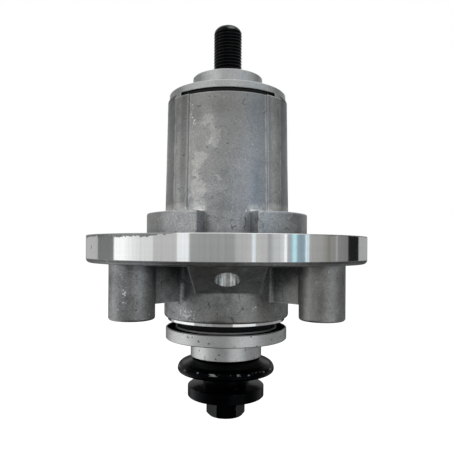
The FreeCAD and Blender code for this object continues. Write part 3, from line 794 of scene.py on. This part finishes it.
def workedFaces(tree, spec, at):
    # Where the faces are turned or drilled: rim, top face, nose and gusset holes. The
    # upper edge of the rim's turned part is ragged at the sides
    ragged = together(tree, at["raggedLeft"], at["inFront"])
    ragged = together(tree, at["chipDepth"], strongest(tree, at["raggedSides"], ragged))
    lifted = addNode(tree, "Math", {"operation": "ADD"}, {0: at["tall"], 1: ragged})
    below = addNode(tree, "Math", {"operation": "LESS_THAN", 1: spec["rimHigh"]}, {0: lifted})
    rim = together(tree, below, at["rim"])
    return strongest(tree, rim, at["topFace"], at["nose"], at["drilled"])


def castAluminium(spec):
    material, tree = startMaterial("die cast aluminium, as cast and turned")
    at = surveyHousing(tree, spec)
    cast, turned = castSkin(tree, spec, at), turnedSkin(tree, spec, at)
    both = addNode(tree, "MixShader", links={0: workedFaces(tree, spec, at), 1: cast, 2: turned})
    addNode(tree, "OutputMaterial", links={"Surface": both})
    return material


paint(["housing"], castAluminium(housingFinish))
print("housing finished")

# Turned and tumbled steel: an even pale grey with a fine dull grain, few dents, edges
# rubbed bright, painted shade in the corners, and a painted shadow where it faces the bearings
spacerFinish = {
    "name": "steel, turned and tumbled",
    "base": "#c6c7c7",
    "dark": "#6b6c6d",
    "edge": "#e6e6e4",
    "paintedShadow": "#080808",
    "paintedShadowZone": (70.0, 75.25, 0.0, 32.6),  # from, to, inside radius, outside radius
    "noises": {"grain": (0.9, 2.0), "cloud": (7, 3.0), "ruffle": (2.2, 2.0)},  # mm and detail
    "depths": {"grain": 0.5, "cloud": 0.35},
    "dentMm": 4.2,
    "dentShare": 0.04,
    "dentSpot": span(0.27, 0.14, high=0.75),
    "dentHeight": -2.0,  # in parts of bumpMm
    "ruffleDepthMm": 2.4,  # makes the dents' outlines uneven
    "edgeMm": 0.35,
    "edgeRub": span(0.985, 0.90, high=0.5),
    "cornerMm": 2.6,
    "cornerShade": span(0.2, 0.8, 0.35),
    "surface": {"Metallic": 1.0, "Roughness": 0.42},
    "bumpMm": 0.02,
}

# Sintered steel, tumbled: paler, with open pores and scratches, and a painted shadow in the cup's
# groove
cupFinish = {
    **spacerFinish,
    "name": "steel, sintered and tumbled",
    "base": "#d6d7d7",
    "dark": "#4c4c4e",
    "paintedShadowZone": (-57.0, -50.8, 28.5, 33.4),
    "depths": {"grain": 0.5, "cloud": 0.2},
    "dentMm": 2.7,
    "dentShare": 0.26,
}


def turnedSteel(spec):
    material, tree = startMaterial(spec["name"])
    at = surfacePlace(tree)
    for name, (size, detail) in spec["noises"].items():
        settings = {"Scale": patternScale(size), "Detail": detail}
        at[name] = addNode(tree, "TexNoise", settings, {"Vector": at["place"]})
    shades = []
    for name, depth in spec["depths"].items():
        settings = {"operation": "MULTIPLY_ADD", 1: depth, 2: 1 - depth / 2}
        shades.append(addNode(tree, "Math", settings, {0: at[name]}))
    colour = addNode(
        tree, "VectorMath", {"operation": "SCALE", 0: hexColour(spec["base"])[:3]},
        {"Scale": together(tree, *shades)},
    )
    settings = {"operation": "SCALE", "Scale": spec["ruffleDepthMm"] * mm}
    ruffle = addNode(tree, "VectorMath", settings, {0: at["ruffle"].outputs["Color"]})
    ruffle = addNode(tree, "VectorMath", {"operation": "ADD"}, {0: at["place"], 1: ruffle})
    dent, cell = spotCells(tree, ruffle, spec["dentMm"], spec["dentSpot"])
    dentHere = {"operation": "LESS_THAN", 1: spec["dentShare"]}
    dent = together(tree, dent, addNode(tree, "Math", dentHere, {0: cell.outputs["Red"]}))
    colour = coloured(tree, colour, (dent, spec["dark"]), (rubbedEdges(tree, spec), spec["edge"]))
    # Painted shade in the corners, from ambient occlusion
    corner = addNode(tree, "AmbientOcclusion", {"samples": 8, "Distance": spec["cornerMm"] * mm})
    corner = addNode(tree, "MapRange", spec["cornerShade"], {"Value": corner.outputs["AO"]})
    colour = addNode(tree, "VectorMath", {"operation": "SCALE"}, {0: colour, "Scale": corner})

    # A painted shadow in a recess: from and to a height, inside and outside a radius
    low, high, inside, outside = (limit * mm for limit in spec["paintedShadowZone"])
    inPaintedShadow = zone(tree, at, [
        ("GREATER_THAN", "tall", low), ("LESS_THAN", "tall", high),
        ("GREATER_THAN", "reach", inside), ("LESS_THAN", "reach", outside),
    ])
    colour = coloured(tree, colour, (inPaintedShadow, spec["paintedShadow"]))
    settings = {"operation": "MULTIPLY_ADD", 1: spec["dentHeight"]}
    height = addNode(tree, "Math", settings, {0: dent, 2: at["grain"]})
    closeMaterial(tree, spec, colour, height)
    return material


paint(["top_spacer", "distance_sleeve"], turnedSteel(spacerFinish))
paint(["bottom_spacer"], turnedSteel(cupFinish))
print("spacers finished")

# Steel, chemically blacked and oiled: nearly black, smooth, with soft edges of light,
# a little bare metal on the corners, and painted highlights on the thread's crests, the
# stud's end and the cup washer's lip
blackFinish = {
    "base": "#050608",
    "cloud": "#020305",
    "bareAndHighlight": "#8c8d8f",
    "noises": {"cloud": (9, 3.0), "nicks": (3.4, 4.0), "spots": (3.2, 2.0)},  # mm and detail
    "nickRub": span(0.52, 0.66, high=0.8),
    "edgeMm": 0.45,
    "edgeRub": span(0.97, 0.80),
    # Rings rubbed bare in spots, which are painted highlights as well, the stud's end and
    # the lip of the cup washer: from, to, and the radius that they lie beyond
    "rubbedAndHighlitRings": ((117.9, 118.9, 0.0), (-73.0, -71.8, 22.0)),
    "spotCloud": 0.35,
    "spotRub": span(0.72, 0.80, high=0.85),
    "crest": span(7.72 * mm, 7.88 * mm, high=0.05),
    "stud": (103 * mm, 13.2 * mm),  # the thread's middle and half its length
    "endHighlight": (1.8, -6.9, 116.6),  # the middle of the painted highlight arc on the stud's end
    "endHighlightFlat": 3,  # the arc is this many times as long as it is high
    "endHighlightFade": span(3.0 * mm, 0.8 * mm, high=0.7),
    "surface": {"Metallic": 1.0, "Roughness": 0.30, "Coat Weight": 0.05, "Coat Roughness": 0.2},
    "bumpMm": 0.006,
}


def blackedSteel(spec):
    material, tree = startMaterial("steel, blacked and oiled")
    at = surfacePlace(tree)
    for name, (size, detail) in spec["noises"].items():
        settings = {"Scale": patternScale(size), "Detail": detail}
        at[name] = addNode(tree, "TexNoise", settings, {"Vector": at["place"]})
    rubbed = addNode(tree, "MapRange", spec["nickRub"], {"Value": at["nicks"]})
    wearAndHighlights = [together(tree, rubbedEdges(tree, spec), rubbed)]
    settings = {"operation": "MULTIPLY_ADD", 1: spec["spotCloud"]}
    spots = addNode(tree, "Math", settings, {0: at["cloud"], 2: at["spots"]})
    spots = addNode(tree, "MapRange", spec["spotRub"], {"Value": spots})
    for low, high, beyond in spec["rubbedAndHighlitRings"]:
        ring = zone(tree, at, [
            ("COMPARE", "tall", (low + high) / 2 * mm, (high - low) / 2 * mm),
            ("GREATER_THAN", "reach", beyond * mm),
        ])
        wearAndHighlights.append(together(tree, ring, spots))
    # A painted highlight on the thread's crests, above the shaft's shoulder
    crest = addNode(tree, "MapRange", spec["crest"], {"Value": at["reach"]})
    wearAndHighlights.append(together(tree, crest, zone(tree, at, [("COMPARE", "tall", *spec["stud"])])))
    # A painted highlight arc on the stud's end
    x, y, z = (value * mm for value in spec["endHighlight"])
    flat = spec["endHighlightFlat"]
    settings = {"operation": "MULTIPLY_ADD", 1: (1, 1, flat), 2: (-x, -y, -flat * z)}
    arc = addNode(tree, "VectorMath", settings, {0: at["place"]})
    arc = addNode(tree, "VectorMath", {"operation": "LENGTH"}, {0: arc})
    wearAndHighlights.append(addNode(tree, "MapRange", spec["endHighlightFade"], {"Value": arc}))
    colour = addNode(
        tree, "Mix", {"data_type": "RGBA", 6: hexColour(spec["base"]), 7: hexColour(spec["cloud"])},
        {0: at["cloud"]},
    )
    colour = coloured(tree, colour, (strongest(tree, *wearAndHighlights), spec["bareAndHighlight"]))
    closeMaterial(tree, spec, colour, at["nicks"])
    return material


blackSteel = blackedSteel(blackFinish)
paint(["cup_washer", "blade_washer", "blade_bolt", "spindle_shaft"], blackSteel)
print("black steel finished")

# The shaft with its threaded stud, in millimetres. It stands for the plain CAD shaft
shaft = {
    "sides": 96,
    "drillPoint": -36.3,
    "tappedRadius": 6.03,
    "tappedTop": -39.7,
    "bottom": -65.65,
    "journalRadius": 12.5,
    "chamfer": 1.0,
    "top": 87.7,
    "reliefRadius": 6.9,
    "reliefTop": 89.7,
    "studRadius": 7.9,
    "domeFrom": 114.8,
    "studTop": 119.2,
    "domeFlat": 4.4,
    "pitch": 1.77,  # as the ridges stand in the photograph
    "crestWidth": 0.14,  # in parts of the pitch
    "flankWidth": 0.68,  # both flanks together
    "threadDepth": 0.5,
    "threadTop": 116.3,
    "runOut": 0.9,
    "rowsPerPitch": 10,
    "lastRow": 0.35,  # the rows of the thread end this far below the stud's top
    "sharpFrom": 35,  # degrees
}


def domeRadius(spec, height):
    run = spec["studRadius"] - spec["domeFlat"]
    rise = spec["studTop"] - spec["domeFrom"]
    arc = (run ** 2 + rise ** 2) / (2 * run)
    up = max(0.0, height - spec["domeFrom"])
    return spec["studRadius"] - arc + math.sqrt(max(0.0, arc ** 2 - up ** 2))


def threadedRadius(spec, height, turn):
    # A flat crest at half a pitch, with straight flanks to a narrow root
    phase = (height / spec["pitch"] - turn / (2 * math.pi)) % 1
    away = abs(phase - 0.5) * 2
    cut = min(1.0, max(0.0, (away - spec["crestWidth"]) / spec["flankWidth"]))
    fade = min(1.0, max(0.0, (spec["threadTop"] - height) / spec["runOut"]))
    root = spec["studRadius"] - spec["threadDepth"] * cut * fade
    return min(root, domeRadius(spec, height))


def makeShaft(spec):
    # Rings of (radius, height), with a radius of None where the thread decides it
    journal, edge = spec["journalRadius"], spec["chamfer"]
    rings = [
        (spec["tappedRadius"], spec["tappedTop"]),
        (spec["tappedRadius"], spec["bottom"]),
        (journal - edge, spec["bottom"]),
        (journal, spec["bottom"] + edge),
        (journal, spec["top"] - edge),
        (journal - edge, spec["top"]),
        (spec["reliefRadius"], spec["top"]),
        (spec["reliefRadius"], spec["reliefTop"]),
    ]
    step = spec["pitch"] / spec["rowsPerPitch"]
    height = spec["reliefTop"] + step
    while height < spec["studTop"] - spec["lastRow"]:
        rings.append((None, height))
        height += step
    rings.append((spec["domeFlat"], spec["studTop"]))
    sides = spec["sides"]
    vertices = [(0, 0, spec["drillPoint"] * mm)]
    for radius, ringHeight in rings:
        for side in range(sides):
            turn = 2 * math.pi * side / sides
            here = threadedRadius(spec, ringHeight, turn) if radius is None else radius
            vertices.append((here * mm * math.cos(turn), here * mm * math.sin(turn), ringHeight * mm))
    vertices.append((0, 0, spec["studTop"] * mm))
    last = len(vertices) - 1
    faces = []
    for side in range(sides):
        after = (side + 1) % sides
        faces.append((0, 1 + after, 1 + side))
        for row in range(len(rings) - 1):
            low, high = 1 + row * sides, 1 + (row + 1) * sides
            faces.append((low + side, low + after, high + after, high + side))
        top = 1 + (len(rings) - 1) * sides
        faces.append((top + side, top + after, last))
    obj = addMesh("threadedShaft", vertices, faces, blackSteel)
    work = bmesh.new()
    work.from_mesh(obj.data)
    bmesh.ops.recalc_face_normals(work, faces=work.faces)
    work.to_mesh(obj.data)
    work.free()
    obj.data.shade_smooth()
    obj.data.set_sharp_from_angle(angle=math.radians(spec["sharpFrom"]))
    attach(obj, "spindle")
    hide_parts("spindle_shaft")


makeShaft(shaft)
print("shaft threaded")

# Nitrile rubber, moulded: matt and black, with a faint bloom
rubberFinish = {
    "base": "#0b0b0c",
    "bloom": "#151516",
    "bloomNoise": {"Scale": patternScale(4), "Detail": 3.0},
    "surface": {"Roughness": 0.7, "IOR": 1.52, "Specular IOR Level": 0.3},
    "bumpMm": 0.02,
}


def mouldedRubber(spec):
    material, tree = startMaterial("nitrile rubber, moulded")
    place = addNode(tree, "TexCoord").outputs["Object"]
    bloom = addNode(tree, "TexNoise", spec["bloomNoise"], {"Vector": place})
    colour = addNode(
        tree, "Mix", {"data_type": "RGBA", 6: hexColour(spec["base"]), 7: hexColour(spec["bloom"])},
        {0: bloom},
    )
    closeMaterial(tree, spec, colour, bloom)
    return material


sealRubber = mouldedRubber(rubberFinish)
bearings = ("upper_bearing", "lower_bearing")
paint(["upper_dust_seal", "lower_dust_seal"], sealRubber)
paint([name + side for name in bearings for side in ("_top_shield", "_bottom_shield")], sealRubber)

# Bearing steel, ground: bright, with very fine marks round the axis. The cage is pressed
# from steel strip, which is duller and a little yellow
bearingFinish = {
    "rings": ("bearing steel, ground", "#c9cacc", 0.2),  # name, colour, roughness
    "cage": ("steel strip, pressed", "#a8a294", 0.38),
    "markMm": 0.5,
    "markRound": 80,  # a lower scale than across the marks
    "markNoise": {"Scale": 1.0, "Detail": 2.0},
    "markShade": span(0.3, 0.7, 0.88),
}


def groundSteel(spec, name, colour, roughness):
    material, tree = startMaterial(name)
    place = addNode(tree, "TexCoord").outputs["Object"]
    stretch = (spec["markRound"], spec["markRound"], patternScale(spec["markMm"]))
    marks = addNode(tree, "VectorMath", {"operation": "MULTIPLY", 1: stretch}, {0: place})
    marks = addNode(tree, "TexNoise", spec["markNoise"], {"Vector": marks})
    shade = addNode(tree, "MapRange", spec["markShade"], {"Value": marks})
    base = {"operation": "SCALE", 0: hexColour(colour)[:3]}
    tone = addNode(tree, "VectorMath", base, {"Scale": shade})
    surface = {"Metallic": 1.0, "Roughness": roughness}
    metal = addNode(tree, "BsdfPrincipled", surface, {"Base Color": tone})
    addNode(tree, "OutputMaterial", links={"Surface": metal})
    return material


ringSteel = groundSteel(bearingFinish, *bearingFinish["rings"])
cageSteel = groundSteel(bearingFinish, *bearingFinish["cage"])
groundParts = ("_outer_ring", "_inner_ring", "_balls")
paint([name + part for name in bearings for part in groundParts], ringSteel)
paint([name + "_cage" for name in bearings], cageSteel)
print("bearings and seals finished")
